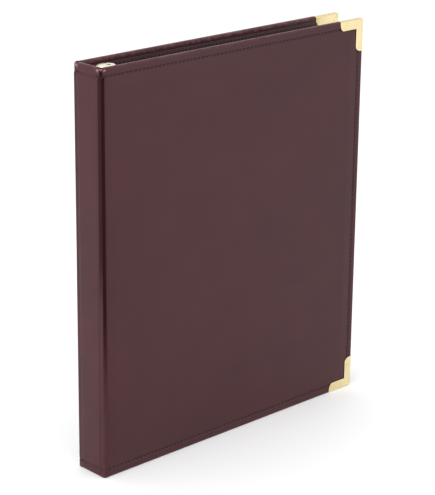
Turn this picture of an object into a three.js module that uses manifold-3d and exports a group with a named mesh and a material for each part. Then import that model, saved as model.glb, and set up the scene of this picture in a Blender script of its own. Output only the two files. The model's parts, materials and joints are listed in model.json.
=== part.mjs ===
// A ring-bound coin album: two padded, stitched leather-look covers with brass corners, a soft hinge
// on each side of a flat spine, a three-ring mechanism inside, and clear coin pages on its rings.
//
// Millimetres, +Z up. The album stands closed on its lower edges: the spine is at -X, the opening
// edge at +X, the front cover at -Y and the back cover at +Y. Z = 0 is the surface it stands on.
import * as THREE from "three";
import { mergeVertices } from "three/addons/utils/BufferGeometryUtils.js";
import Module from "manifold-3d";

const wasm = await Module();
wasm.setup();

// Driving dimensions
const HEIGHT = 298;
const WIDTH = 256;
const DEPTH = 29;

// Layers of a cover, from its outer face inwards
const SKIN = 0.8;
const FOAM = 0.8;
const LINER = 0.5;
const COVER = 3.6;
const GLUE = 0.05;
const EDGE_ROUND = 1.3;
const CORNER_ROUND = 2;
const HEM = 3.5;

// Soft hinges between the spine and the covers
const HINGE_REACH = 4;
const HINGE_ROUND = 3;
const HINGE_SKIN = 1.3;
const HINGE_PLAY = 0.15;

// Stitching
const SEAM_FROM_END = 6;
const SEAM_FROM_EDGE = 5;
const GROOVE_WIDTH = 1;
const GROOVE_DEPTH = 0.6;
const THREAD_DEPTH = 0.3;
const THREAD_WIDTH = 0.7;

// Brass corners
const BRASS = 0.5;
const BRASS_PROUD = 0.3;
const BRASS_ARM = 25;
const BRASS_WIDTH = 7.5;
const BRASS_END_ROUND = 5.4;

// Ring mechanism. Its own frame starts on the spine's lining: +X points into the album.
const CHANNEL_LENGTH = 274;
const CHANNEL_WIDTH = 18;
const CHANNEL_HEIGHT = 5.2;
const CHANNEL_FLANK = 3.4;
const CHANNEL_SHEET = 0.7;
const CHANNEL_LIP = 1.6;
const LEAF_BOTTOM = 0.9;
const LEAF_SHEET = 0.7;
const LEAF_EDGE = 8;
const LEAF_LENGTH = 266;
const LEAF_SPLIT = 0.3;
const RING_SPACING = 108;
const RING_RADIUS = 7.6;
const RING_WIRE = 2.4;
const RING_CENTRE = 8.2;
const RING_GAP = 0.3;
const RING_SLOT_PLAY = 0.7;
const RIVET_SPREAD = 122;
const RIVET_SHANK = 1.6;
const RIVET_HEAD = 3.2;
const RIVET_FLANGE = 4;
const RIVET_FLANGE_SHEET = 0.6;
const RIVET_DOME = 0.85;
const RIVET_PLAY = 0.1;
const LEVER_PIVOT_Z = 136;
const LEVER_PIVOT_X = 2.2;
const LEVER_PIN = 0.7;
const LEVER_WIDTH = 14;
const LEVER_NECK = 4.4;
const LEVER_REACH = 19.4;
const LEVER_SHEET = 1.2;
const LEVER_TONGUE = 10.9;
const LEVER_NECK_END = 3;
const LEVER_SHOULDER = 9;
const LEVER_TIP_ROUND = 3.2;
const LEVER_ARM = 2.4;
const FINGER_HOLE_X = 15;
const FINGER_HOLE_WIDTH = 2.5;
const FINGER_HOLE_LENGTH = 5;
const PIN_PLAY = 0.08;

// Coin pages
const PAGE_WIDTH = 228;
const PAGE_HEIGHT = 279;
const PAGE_SHEET = 0.5;
const PAGE_PITCH = 1;
const PAGE_COUNT = 4;
const PAGE_ROUND = 3;
const PAGE_HOLE = 3.5;
const PAGE_HOLE_INSET = 7;

// Worked out from the above
const HALF_HEIGHT = HEIGHT / 2;
const SPINE_X = -WIDTH / 2;
const BOARD_BACK = COVER - LINER - GLUE;
const SPINE_HALF = DEPTH / 2 - HINGE_REACH;
const COVER_START = SPINE_X + HINGE_REACH + HINGE_PLAY;
const FORE_EDGE = WIDTH / 2;
const MECHANISM_X = SPINE_X + COVER + GLUE;
const RING_HEIGHTS = { top: RING_SPACING, middle: 0, bottom: -RING_SPACING };

const material = (color, roughness, metalness = 0) =>
  new THREE.MeshStandardMaterial({ color, roughness, metalness });

const LEATHER = material(0x5a3135, 0.45);
const THREAD = material(0x3a1418, 0.7);
const BOARD_STOCK = material(0x8c8478, 0.95);
const PADDING = material(0xd9d4c8, 0.95);
const LINING = material(0x3c2226, 0.8);
const BRASS_SHEET = material(0xd9bf7a, 0.28, 1);
const PLATED_STEEL = material(0xcdb377, 0.25, 1);
const CLEAR_VINYL = material(0xdfe6ea, 0.15);

// ---- geometry helpers ----

/** A closed geometry as a solid that can be cut and joined. */
function solidOf(geometry) {
  const bare = geometry.index ? geometry.toNonIndexed() : geometry.clone();
  bare.deleteAttribute("normal");
  bare.deleteAttribute("uv");
  const merged = mergeVertices(bare);
  const mesh = new wasm.Mesh({
    numProp: 3,
    vertProperties: new Float32Array(merged.attributes.position.array),
    triVerts: new Uint32Array(merged.index.array),
  });
  return new wasm.Manifold(mesh);
}

/** A solid back as a three.js geometry. */
function geometryOf(solid) {
  const mesh = solid.getMesh();
  const geometry = new THREE.BufferGeometry();
  geometry.setAttribute("position", new THREE.BufferAttribute(mesh.vertProperties, 3));
  geometry.setIndex(new THREE.BufferAttribute(mesh.triVerts, 1));
  geometry.computeVertexNormals();
  return geometry;
}

/** A block between two corners. */
function block([x0, y0, z0], [x1, y1, z1]) {
  const geometry = new THREE.BoxGeometry(x1 - x0, y1 - y0, z1 - z0);
  return geometry.translate((x0 + x1) / 2, (y0 + y1) / 2, (z0 + z1) / 2);
}

/** A shape drawn in X and Y, extruded along Z from one height to another. */
function extrudeZ(shape, z0, z1, curveSegments = 8) {
  const options = { depth: z1 - z0, bevelEnabled: false, curveSegments };
  return new THREE.ExtrudeGeometry(shape, options).translate(0, 0, z0);
}

/** A shape drawn in X and Z, extruded along Y from one depth to another. */
function extrudeY(shape, y0, y1, curveSegments = 8) {
  return extrudeZ(shape, -y1, -y0, curveSegments).rotateX(Math.PI / 2);
}

/** A polygon through the given points. */
function polygon(points) {
  return new THREE.Shape(points.map(([x, y]) => new THREE.Vector2(x, y)));
}

/** A rectangle whose four corners are rounded. */
function roundedRectangle(x0, y0, x1, y1, radius) {
  const shape = new THREE.Shape();
  shape.moveTo(x0 + radius, y0);
  shape.lineTo(x1 - radius, y0);
  shape.absarc(x1 - radius, y0 + radius, radius, -Math.PI / 2, 0);
  shape.lineTo(x1, y1 - radius);
  shape.absarc(x1 - radius, y1 - radius, radius, 0, Math.PI / 2);
  shape.lineTo(x0 + radius, y1);
  shape.absarc(x0 + radius, y1 - radius, radius, Math.PI / 2, Math.PI);
  shape.lineTo(x0, y0 + radius);
  shape.absarc(x0 + radius, y0 + radius, radius, Math.PI, 1.5 * Math.PI);
  return shape;
}

/** A cylinder along Y, centred on the given point. */
function cylinderY(radius, length, x, z, segments = 16) {
  return new THREE.CylinderGeometry(radius, radius, length, segments).translate(x, 0, z);
}

/** A cylinder along X from one distance to another. */
function cylinderX(radius, x0, x1, z, segments = 20) {
  const geometry = new THREE.CylinderGeometry(radius, radius, x1 - x0, segments);
  return geometry.rotateZ(-Math.PI / 2).translate((x0 + x1) / 2, 0, z);
}

function namedMesh(name, geometry, meshMaterial) {
  const mesh = new THREE.Mesh(geometry, meshMaterial);
  mesh.name = name;
  return mesh;
}

// ---- covers: local Y runs from the outer face inwards, Z is measured from mid-height ----

/** The cover's outer form with rounded edges, thinned by inset on every face that has an edge. */
function coverSlab(y0, y1, inset, round) {
  const reachPastHinge = 10;
  const outline = roundedRectangle(
    COVER_START - reachPastHinge,
    -HALF_HEIGHT + inset,
    FORE_EDGE - inset,
    HALF_HEIGHT - inset,
    CORNER_ROUND,
  );
  const options = {
    depth: y1 - y0 - 2 * round,
    bevelEnabled: true,
    bevelThickness: round,
    bevelSize: round,
    bevelOffset: -round,
    bevelSegments: 3,
    curveSegments: 4,
  };
  const geometry = new THREE.ExtrudeGeometry(outline, options);
  geometry.translate(0, 0, round).rotateX(Math.PI / 2).translate(0, y1, 0);
  const hingeSide = block(
    [COVER_START - 2 * reachPastHinge, y0 - 1, -HEIGHT],
    [COVER_START, y1 + 1, HEIGHT],
  );
  return solidOf(geometry).subtract(solidOf(hingeSide));
}

/** The outline of one corner's two arms, in X and Z. */
function cornerOutline(grow) {
  const far = 5;
  const arm = BRASS_ARM + grow;
  const width = BRASS_WIDTH + grow;
  const round = BRASS_END_ROUND;
  const shape = new THREE.Shape();
  const right = FORE_EDGE;
  const top = HALF_HEIGHT;
  shape.moveTo(right + far, top + far);
  shape.lineTo(right - arm, top + far);
  shape.lineTo(right - arm, top - width + round);
  shape.absarc(right - arm + round, top - width + round, round, Math.PI, 1.5 * Math.PI);
  shape.lineTo(right - width, top - width);
  shape.lineTo(right - width, top - arm + round);
  shape.absarc(right - width + round, top - arm + round, round, Math.PI, 1.5 * Math.PI);
  shape.lineTo(right + far, top - arm);
  return shape;
}

/** The space over both corners that the brass takes from the leather and the lining. */
function cornerRecess() {
  const far = 3;
  const kept = coverSlab(
    BRASS - BRASS_PROUD + GLUE,
    COVER - BRASS + BRASS_PROUD - GLUE,
    BRASS + GLUE,
    EDGE_ROUND - BRASS,
  );
  const arms = extrudeY(cornerOutline(GLUE), -far, COVER + far);
  const top = solidOf(arms);
  const bottom = solidOf(turnedOver(arms));
  return top.add(bottom).subtract(kept);
}

/** A copy turned end for end about the cover's middle layer, so that a top corner fits the bottom. */
function turnedOver(geometry) {
  return geometry.clone().rotateX(Math.PI).translate(0, COVER, 0);
}

/** A U of stitching or of its groove, along the two ends and the opening edge. */
function seam(width, y0, y1) {
  const x0 = COVER_START;
  const x1 = FORE_EDGE - SEAM_FROM_EDGE + width / 2;
  const z1 = HALF_HEIGHT - SEAM_FROM_END + width / 2;
  const outline = polygon([
    [x0, z1],
    [x0, z1 - width],
    [x1 - width, z1 - width],
    [x1 - width, -z1 + width],
    [x0, -z1 + width],
    [x0, -z1],
    [x1, -z1],
    [x1, z1],
  ]);
  return extrudeY(outline, y0, y1);
}

/** The leather-look skin: outer face, three wrapped edges and the narrow hem inside. */
function coverSkin(recess) {
  const wall = SKIN;
  const past = 1;
  const core = block(
    [COVER_START - past, SKIN, -HALF_HEIGHT + wall],
    [FORE_EDGE - wall, COVER - LINER, HALF_HEIGHT - wall],
  );
  const window = block(
    [COVER_START - past, COVER - LINER - past, -HALF_HEIGHT + HEM],
    [FORE_EDGE - HEM, COVER + past, HALF_HEIGHT - HEM],
  );
  const groove = seam(GROOVE_WIDTH, -past, GROOVE_DEPTH);
  return coverSlab(0, COVER, 0, EDGE_ROUND)
    .subtract(solidOf(core))
    .subtract(solidOf(window))
    .subtract(solidOf(groove))
    .subtract(recess);
}

/** A flat layer inside the skin, between two depths, cut back where the brass corners lie. */
function coverLayer(y0, y1, inset, recess) {
  const layer = block(
    [COVER_START, y0, -HALF_HEIGHT + inset],
    [FORE_EDGE - inset, y1, HALF_HEIGHT - inset],
  );
  return geometryOf(solidOf(layer).subtract(recess));
}

/** One brass corner for the top: a bent sheet over the outer face, the two edges and the inner face. */
function brassCorner() {
  const outside = coverSlab(-BRASS_PROUD, COVER + BRASS_PROUD, 0, EDGE_ROUND);
  const inside = coverSlab(
    BRASS - BRASS_PROUD,
    COVER - BRASS + BRASS_PROUD,
    BRASS,
    EDGE_ROUND - BRASS,
  );
  const arms = extrudeY(cornerOutline(0), -COVER, 2 * COVER);
  return geometryOf(outside.subtract(inside).intersect(solidOf(arms)));
}

/** All the layers of one cover. The back cover is the front one turned over about the X axis. */
function cover(side) {
  const group = new THREE.Group();
  const recess = cornerRecess();
  const name = (part) => `${side}_cover_${part}`;
  const inset = SKIN + GLUE;
  const foamBack = SKIN + FOAM;
  const corner = brassCorner();
  const cornerTop = side === "front" ? "top" : "bottom";
  const cornerBottom = side === "front" ? "bottom" : "top";
  const foam = coverLayer(SKIN + GLUE, foamBack, inset, recess);
  const board = coverLayer(foamBack + GLUE, BOARD_BACK, inset, recess);
  const lining = coverLayer(COVER - LINER, COVER, HEM + GLUE, recess);
  group.add(
    namedMesh(name("skin"), geometryOf(coverSkin(recess)), LEATHER),
    namedMesh(name("foam"), foam, PADDING),
    namedMesh(name("board"), board, BOARD_STOCK),
    namedMesh(name("lining"), lining, LINING),
    namedMesh(name("stitching"), seam(THREAD_WIDTH, THREAD_DEPTH, GROOVE_DEPTH - GLUE), THREAD),
    namedMesh(name(`corner_${cornerTop}`), corner, BRASS_SHEET),
    namedMesh(name(`corner_${cornerBottom}`), turnedOver(corner), BRASS_SHEET),
  );
  const outward = side === "front" ? -1 : 1;
  group.position.set(0, (outward * DEPTH) / 2, HALF_HEIGHT);
  group.rotation.x = side === "front" ? 0 : Math.PI;
  return group;
}

// ---- spine: local X runs from the outer face inwards, Z is measured from mid-height ----

/** The spine's skin in X and Z: the outer face, the two wrapped ends and their hems. */
function spineSkinOutline() {
  const round = EDGE_ROUND;
  const shape = new THREE.Shape();
  const hemBack = COVER - LINER;
  const inner = HALF_HEIGHT - SKIN;
  const hemEnd = HALF_HEIGHT - HEM;
  shape.moveTo(0, -HALF_HEIGHT + round);
  shape.lineTo(0, HALF_HEIGHT - round);
  shape.absarc(round, HALF_HEIGHT - round, round, Math.PI, Math.PI / 2, true);
  shape.lineTo(COVER - round, HALF_HEIGHT);
  shape.absarc(COVER - round, HALF_HEIGHT - round, round, Math.PI / 2, 0, true);
  shape.lineTo(COVER, hemEnd);
  shape.lineTo(hemBack, hemEnd);
  shape.lineTo(hemBack, inner);
  shape.lineTo(SKIN, inner);
  shape.lineTo(SKIN, -inner);
  shape.lineTo(hemBack, -inner);
  shape.lineTo(hemBack, -hemEnd);
  shape.lineTo(COVER, -hemEnd);
  shape.lineTo(COVER, -HALF_HEIGHT + round);
  shape.absarc(COVER - round, -HALF_HEIGHT + round, round, 0, -Math.PI / 2, true);
  shape.lineTo(round, -HALF_HEIGHT);
  shape.absarc(round, -HALF_HEIGHT + round, round, -Math.PI / 2, -Math.PI, true);
  return shape;
}

/** A straight run of stitching, or its groove, across the spine near one end. */
function spineSeam(width, x0, x1, end) {
  const z = end * (HALF_HEIGHT - SEAM_FROM_END);
  return block([x0, -SPINE_HALF, z - width / 2], [x1, SPINE_HALF, z + width / 2]);
}

/** The skin with the two stitching grooves cut into its outer face. */
function spineSkin() {
  const skin = solidOf(extrudeY(spineSkinOutline(), -SPINE_HALF, SPINE_HALF, 4));
  const top = solidOf(spineSeam(GROOVE_WIDTH, -1, GROOVE_DEPTH, 1));
  const bottom = solidOf(spineSeam(GROOVE_WIDTH, -1, GROOVE_DEPTH, -1));
  return geometryOf(skin.subtract(top).subtract(bottom));
}

/** Cuts the two rivet holes through a layer, with a wider pocket where the flange lies. */
function withRivetHoles(geometry, flangeX0, flangeX1) {
  let solid = solidOf(geometry);
  for (const z of [RIVET_SPREAD, -RIVET_SPREAD]) {
    const hole = cylinderX(RIVET_SHANK + RIVET_PLAY, -1, COVER + CHANNEL_HEIGHT + 1, z);
    solid = solid.subtract(solidOf(hole));
    if (flangeX1 > flangeX0) {
      const pocket = cylinderX(RIVET_FLANGE + RIVET_PLAY, flangeX0, flangeX1, z);
      solid = solid.subtract(solidOf(pocket));
    }
  }
  return geometryOf(solid);
}

/** A soft hinge strip: the skin and the lining glued to each other round the album's corner. */
function hingeStrip(side) {
  const outward = side === "front" ? -1 : 1;
  const face = DEPTH / 2;
  const centre = HINGE_ROUND;
  const inner = HINGE_ROUND - HINGE_SKIN;
  const spineEnd = SPINE_HALF + GLUE;
  const coverEnd = HINGE_REACH - HINGE_PLAY;
  const shape = new THREE.Shape();
  shape.moveTo(0, spineEnd);
  shape.lineTo(HINGE_SKIN, spineEnd);
  shape.lineTo(HINGE_SKIN, face - centre);
  shape.absarc(centre, face - centre, inner, Math.PI, Math.PI / 2, true);
  shape.lineTo(coverEnd, face - HINGE_SKIN);
  shape.lineTo(coverEnd, face);
  shape.lineTo(centre, face);
  shape.absarc(centre, face - centre, HINGE_ROUND, Math.PI / 2, Math.PI);
  const strip = extrudeZ(shape, -HALF_HEIGHT, HALF_HEIGHT, 6);
  return outward > 0 ? strip : strip.rotateX(Math.PI);
}

function spine() {
  const group = new THREE.Group();
  const flangeBack = SKIN + RIVET_FLANGE_SHEET + 2 * RIVET_PLAY + GLUE;
  const end = HALF_HEIGHT - SKIN - GLUE;
  const hemEnd = HALF_HEIGHT - HEM - GLUE;
  const board = block([SKIN + GLUE, -SPINE_HALF, -end], [BOARD_BACK, SPINE_HALF, end]);
  const lining = block([COVER - LINER, -SPINE_HALF, -hemEnd], [COVER, SPINE_HALF, hemEnd]);
  group.add(
    namedMesh("spine_skin", spineSkin(), LEATHER),
    namedMesh("spine_board", withRivetHoles(board, 0, flangeBack), BOARD_STOCK),
    namedMesh("spine_lining", withRivetHoles(lining, 0, 0), LINING),
    namedMesh("front_hinge", hingeStrip("front"), LEATHER),
    namedMesh("back_hinge", hingeStrip("back"), LEATHER),
  );
  const threadBack = GROOVE_DEPTH - GLUE;
  group.add(
    namedMesh("spine_stitching_top", spineSeam(THREAD_WIDTH, THREAD_DEPTH, threadBack, 1), THREAD),
    namedMesh("spine_stitching_bottom", spineSeam(THREAD_WIDTH, THREAD_DEPTH, threadBack, -1), THREAD),
  );
  group.position.set(SPINE_X, 0, HALF_HEIGHT);
  return group;
}

// ---- ring mechanism: local X is the height above the lining, Z is measured from mid-height ----

/** The arched channel's section: two flanks, a shallow arch, and lips curled in under the leaves. */
function channelOutline() {
  const half = CHANNEL_WIDTH / 2;
  const rise = CHANNEL_HEIGHT - CHANNEL_FLANK;
  const radius = (half * half + rise * rise) / (2 * rise);
  const centre = CHANNEL_HEIGHT - radius;
  const innerHalf = half - CHANNEL_SHEET;
  const innerRadius = radius - CHANNEL_SHEET;
  const outerAngle = Math.asin(half / radius);
  const innerAngle = Math.asin(innerHalf / innerRadius);
  const lip = CHANNEL_SHEET - 0.1;
  const shape = new THREE.Shape();
  shape.moveTo(0, -half + CHANNEL_LIP);
  shape.lineTo(0, -half);
  shape.lineTo(CHANNEL_FLANK, -half);
  shape.absarc(centre, 0, radius, -outerAngle, outerAngle);
  shape.lineTo(0, half);
  shape.lineTo(0, half - CHANNEL_LIP);
  shape.lineTo(lip, half - CHANNEL_LIP);
  shape.lineTo(lip, innerHalf);
  shape.absarc(centre, 0, innerRadius, innerAngle, -innerAngle, true);
  shape.lineTo(lip, -innerHalf);
  shape.lineTo(lip, -half + CHANNEL_LIP);
  return shape;
}

/** The channel with its ring slots, rivet holes and the holes for the lever pins. */
function channel() {
  const half = CHANNEL_LENGTH / 2;
  const slotHalf = RING_WIRE / 2 + RING_SLOT_PLAY;
  const slotInner = CHANNEL_WIDTH / 4;
  const slotOuter = CHANNEL_WIDTH / 2 - CHANNEL_SHEET;
  let solid = solidOf(extrudeZ(channelOutline(), -half, half, 6));
  for (const z of Object.values(RING_HEIGHTS)) {
    for (const side of [-1, 1]) {
      const [y0, y1] = [side * slotInner, side * slotOuter].sort((a, b) => a - b);
      const slot = block([CHANNEL_SHEET + 1, y0, z - slotHalf], [2 * CHANNEL_HEIGHT, y1, z + slotHalf]);
      solid = solid.subtract(solidOf(slot));
    }
  }
  for (const end of [-1, 1]) {
    const z = end * LEVER_PIVOT_Z;
    const holes = cylinderY(LEVER_PIN + PIN_PLAY, 2 * CHANNEL_WIDTH, LEVER_PIVOT_X, z);
    solid = solid.subtract(solidOf(holes));
  }
  return withRivetHoles(geometryOf(solid), 0, 0);
}

/** A rivet: a flange buried in the spine board, a shank, and a low domed head on the channel. */
function rivet(z) {
  const flangeOuter = -COVER + SKIN + RIVET_PLAY;
  const flangeInner = flangeOuter + RIVET_FLANGE_SHEET;
  const headBottom = CHANNEL_HEIGHT + GLUE;
  const domeRadius = (RIVET_HEAD * RIVET_HEAD + RIVET_DOME * RIVET_DOME) / (2 * RIVET_DOME);
  const profile = [
    [0, flangeOuter],
    [RIVET_FLANGE, flangeOuter],
    [RIVET_FLANGE, flangeInner],
    [RIVET_SHANK, flangeInner],
    [RIVET_SHANK, headBottom],
    [RIVET_HEAD, headBottom],
  ];
  const steps = 4;
  for (let step = 1; step <= steps; step += 1) {
    const radius = RIVET_HEAD * (1 - step / steps);
    const height = Math.sqrt(domeRadius * domeRadius - radius * radius) - domeRadius + RIVET_DOME;
    profile.push([radius, headBottom + height]);
  }
  const points = profile.map(([radius, height]) => new THREE.Vector2(radius, height));
  return new THREE.LatheGeometry(points, 16).rotateZ(-Math.PI / 2).translate(0, 0, z);
}

/** One leaf plate, notched round the rivets. This is the front one. */
function leafPlate() {
  const half = LEAF_LENGTH / 2;
  const sheet = block(
    [LEAF_BOTTOM, -LEAF_EDGE, -half],
    [LEAF_BOTTOM + LEAF_SHEET, -LEAF_SPLIT / 2, half],
  );
  let solid = solidOf(sheet);
  for (const z of [RIVET_SPREAD, -RIVET_SPREAD]) {
    solid = solid.subtract(solidOf(cylinderX(RIVET_SHANK + 1, 0, CHANNEL_HEIGHT, z)));
  }
  return geometryOf(solid);
}

/** The path of the front half of a ring, from its tip round to its foot on the leaf plate. */
class HalfRingPath extends THREE.Curve {
  getPoint(t, target = new THREE.Vector3()) {
    const tip = Math.asin(RING_GAP / 2 / RING_RADIUS);
    const foot = Math.acos((LEAF_BOTTOM + LEAF_SHEET - RING_CENTRE) / RING_RADIUS);
    const angle = tip + (foot - tip) * t;
    return target.set(
      RING_CENTRE + RING_RADIUS * Math.cos(angle),
      -RING_RADIUS * Math.sin(angle),
      0,
    );
  }
}

/** The front half of one ring, its foot cut flat where it stands on the leaf plate. */
function halfRing(z) {
  const sides = 10;
  const steps = 18;
  const section = new THREE.Shape();
  section.absarc(0, 0, RING_WIRE / 2, 0, 2 * Math.PI);
  const wire = new THREE.ExtrudeGeometry(section, {
    extrudePath: new HalfRingPath(),
    steps,
    curveSegments: sides / 2,
    bevelEnabled: false,
  });
  const below = block(
    [-CHANNEL_WIDTH, -CHANNEL_WIDTH, -CHANNEL_WIDTH],
    [LEAF_BOTTOM + LEAF_SHEET + GLUE, CHANNEL_WIDTH, CHANNEL_WIDTH],
  );
  return geometryOf(solidOf(wire).subtract(solidOf(below))).translate(0, 0, z);
}

/** A leaf plate with its three half rings. The back one is the front one turned over. */
function leaf(side) {
  const group = new THREE.Group();
  group.add(namedMesh(`${side}_leaf_plate`, leafPlate(), PLATED_STEEL));
  const turned = side === "front" ? 1 : -1;
  for (const [level, z] of Object.entries(RING_HEIGHTS)) {
    group.add(namedMesh(`${side}_half_ring_${level}`, halfRing(turned * z), PLATED_STEEL));
  }
  group.rotation.x = side === "front" ? 0 : Math.PI;
  return group;
}

/** The top lever seen from the side, in X and Z from its pivot: arm, hub, neck and finger tongue. */
function leverSide() {
  const outer = LEVER_TONGUE;
  const inner = outer - LEVER_SHEET;
  return polygon([
    [0.1, -8.5],
    [0.1, 0.3],
    [1.2, 1.2],
    [1.9, 1.6],
    [1.9, outer - 0.4],
    [2.3, outer],
    [LEVER_REACH, outer],
    [LEVER_REACH, inner],
    [3.1, inner],
    [2.9, inner - 0.2],
    [2.9, 1.4],
    [3.3, 0.9],
    [3.3, -0.9],
    [2, -1.2],
    [0.7, -1.2],
    [0.7, -8.5],
  ]);
}

/** The lever seen from its end, in X and Y: a narrow neck that widens to a round-cornered tongue. */
function leverFace() {
  const half = LEVER_WIDTH / 2;
  const neck = LEVER_NECK / 2;
  const round = LEVER_TIP_ROUND;
  const shape = new THREE.Shape();
  shape.moveTo(0, -neck);
  shape.lineTo(LEVER_NECK_END, -neck);
  shape.lineTo(LEVER_SHOULDER, -half);
  shape.lineTo(LEVER_REACH - round, -half);
  shape.absarc(LEVER_REACH - round, -half + round, round, -Math.PI / 2, 0);
  shape.absarc(LEVER_REACH - round, half - round, round, 0, Math.PI / 2);
  shape.lineTo(LEVER_SHOULDER, half);
  shape.lineTo(LEVER_NECK_END, neck);
  shape.lineTo(0, neck);
  return shape;
}

/** The top lever, with a finger hole in its tongue. The bottom one is the top one turned over. */
function lever() {
  const armHalf = LEVER_ARM / 2;
  const hubStart = -1.3;
  const holeHalf = FINGER_HOLE_WIDTH / 2;
  const side = solidOf(extrudeY(leverSide(), -LEVER_WIDTH, LEVER_WIDTH));
  const face = solidOf(extrudeZ(leverFace(), hubStart, 2 * LEVER_WIDTH));
  const arm = solidOf(block([0, -armHalf, -LEVER_WIDTH], [1, armHalf, hubStart + 0.5]));
  const pinHole = solidOf(cylinderY(LEVER_PIN + PIN_PLAY, 2 * LEVER_WIDTH, LEVER_PIVOT_X, 0));
  const slot = roundedRectangle(
    FINGER_HOLE_X - holeHalf,
    -FINGER_HOLE_LENGTH / 2,
    FINGER_HOLE_X + holeHalf,
    FINGER_HOLE_LENGTH / 2,
    0.96 * holeHalf,
  );
  const fingerHole = solidOf(extrudeZ(slot, LEVER_SHEET, LEVER_WIDTH));
  const solid = side.intersect(face.add(arm)).subtract(pinHole).subtract(fingerHole);
  return geometryOf(solid).translate(0, 0, LEVER_PIVOT_Z);
}

function ringMechanism() {
  const group = new THREE.Group();
  const pinLength = CHANNEL_WIDTH - 0.1;
  group.add(
    namedMesh("ring_channel", channel(), PLATED_STEEL),
    namedMesh("channel_rivet_top", rivet(RIVET_SPREAD), PLATED_STEEL),
    namedMesh("channel_rivet_bottom", rivet(-RIVET_SPREAD), PLATED_STEEL),
    leaf("front"),
    leaf("back"),
  );
  for (const [level, turn] of [["top", 0], ["bottom", Math.PI]]) {
    const half = new THREE.Group();
    const pin = cylinderY(LEVER_PIN, pinLength, LEVER_PIVOT_X, LEVER_PIVOT_Z);
    half.add(
      namedMesh(`ring_lever_${level}`, lever(), BRASS_SHEET),
      namedMesh(`lever_pin_${level}`, pin, PLATED_STEEL),
    );
    half.rotation.x = turn;
    group.add(half);
  }
  group.position.set(MECHANISM_X, 0, HALF_HEIGHT);
  return group;
}

// ---- coin pages, counted from the front cover to the back cover ----

/** A page drawn in X and Z: round-cornered, with three holes for the rings. */
function pageOutline() {
  const holeX = RING_CENTRE + RING_RADIUS - 0.1;
  const x0 = holeX - PAGE_HOLE_INSET;
  const half = PAGE_HEIGHT / 2;
  const shape = roundedRectangle(x0, -half, x0 + PAGE_WIDTH, half, PAGE_ROUND);
  for (const z of Object.values(RING_HEIGHTS)) {
    const hole = new THREE.Path();
    hole.absarc(holeX, z, PAGE_HOLE, 0, 2 * Math.PI, true);
    shape.holes.push(hole);
  }
  return shape;
}

function pages() {
  const group = new THREE.Group();
  for (let number = 1; number <= PAGE_COUNT; number += 1) {
    const y = (number - (PAGE_COUNT + 1) / 2) * PAGE_PITCH;
    const sheet = extrudeY(pageOutline(), y - PAGE_SHEET / 2, y + PAGE_SHEET / 2, 10);
    group.add(namedMesh(`coin_page_${number}`, sheet, CLEAR_VINYL));
  }
  group.position.set(MECHANISM_X, 0, HALF_HEIGHT);
  return group;
}

const album = new THREE.Group();
album.add(spine(), cover("front"), cover("back"), ringMechanism(), pages());

export default album;
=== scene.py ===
import json
import math

import bmesh
import bpy
from mathutils import Matrix, Vector, noise


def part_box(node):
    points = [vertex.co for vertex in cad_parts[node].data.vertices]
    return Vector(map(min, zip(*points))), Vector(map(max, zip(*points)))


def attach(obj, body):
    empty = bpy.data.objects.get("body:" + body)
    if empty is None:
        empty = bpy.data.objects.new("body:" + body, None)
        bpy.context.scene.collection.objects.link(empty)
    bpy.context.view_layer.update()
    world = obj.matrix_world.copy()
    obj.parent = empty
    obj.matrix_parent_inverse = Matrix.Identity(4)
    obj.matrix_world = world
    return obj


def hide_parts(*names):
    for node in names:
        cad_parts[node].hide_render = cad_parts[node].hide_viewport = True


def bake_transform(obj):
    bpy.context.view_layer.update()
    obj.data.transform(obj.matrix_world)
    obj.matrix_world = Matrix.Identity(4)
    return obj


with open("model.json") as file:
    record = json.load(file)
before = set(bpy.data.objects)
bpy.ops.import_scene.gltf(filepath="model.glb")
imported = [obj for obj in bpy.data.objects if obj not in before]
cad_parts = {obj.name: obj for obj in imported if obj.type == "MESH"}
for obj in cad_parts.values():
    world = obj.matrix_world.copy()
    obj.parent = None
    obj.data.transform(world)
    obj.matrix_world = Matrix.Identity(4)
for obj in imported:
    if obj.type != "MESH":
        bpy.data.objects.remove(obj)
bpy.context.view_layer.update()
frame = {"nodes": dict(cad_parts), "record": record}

MM = 0.001

# Covers and spine
COVER = 3.6 * MM
ROLL = COVER / 2
HEM = 3.5 * MM
SKIN = 0.6 * MM
EDGE_LINING = 0.12 * MM
EDGE_LINING_INSET = 1.2 * MM
EDGE_GAP = 0.02 * MM
SEAM_FROM_END = 6 * MM
SEAM_FROM_EDGE = 5 * MM
SEAM_DIMPLE = 0.42 * MM
SEAM_WIDTH = 0.85 * MM
SEAM_START = 1.2 * MM
CROWN = 0.35 * MM
CROWN_RISE = 9 * MM
BORDER_CROWN = 0.12 * MM
PLAN_ROUND = 2 * MM
EDGE_SQUARENESS = 0.45
INNER_ROLL = 2.6 * MM
INNER_SQUARENESS = 0.7
# Scuffing and painted highlight on the rolled edges: how much, and how far it reaches
EDGE_WEAR_AND_HIGHLIGHT = 0.42
EDGE_WEAR_AND_HIGHLIGHT_WIDTH = 0.9 * MM

# Stitches
STITCH_PITCH = 3.6 * MM
STITCH_START = 0.14
STITCH_PART = 0.72
THREAD = 0.3 * MM
THREAD_DEPTH = SEAM_DIMPLE - 0.1 * MM
NEEDLE_HOLE = 0.78 * MM

# Hinges, and the painted highlights on the lips and rim of the hollow at their top ends
HINGE_REACH = 4 * MM
HINGE_ROUND = 1.3 * MM
HINGE_SKIN = 0.7 * MM
HINGE_SINK = 0.75 * MM
HINGE_BANK = 0.75 * MM
HINGE_HOLD = 0.9 * MM
SPINE_SIDE_PRESS = {"front": 0.8, "back": 0.15}
COVER_SIDE_PRESS = 1.0
HOLLOW_DEPTH = 0.5 * MM
HOLLOW_DROP = 0.9 * MM
LIP_PLACE = 3.4 * MM
LIP_DROP = 1.7 * MM
LIP_WIDTH = 1.4 * MM
LIP_HEIGHT = 1.0 * MM
RIM_HEIGHT = 0.9 * MM

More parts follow.
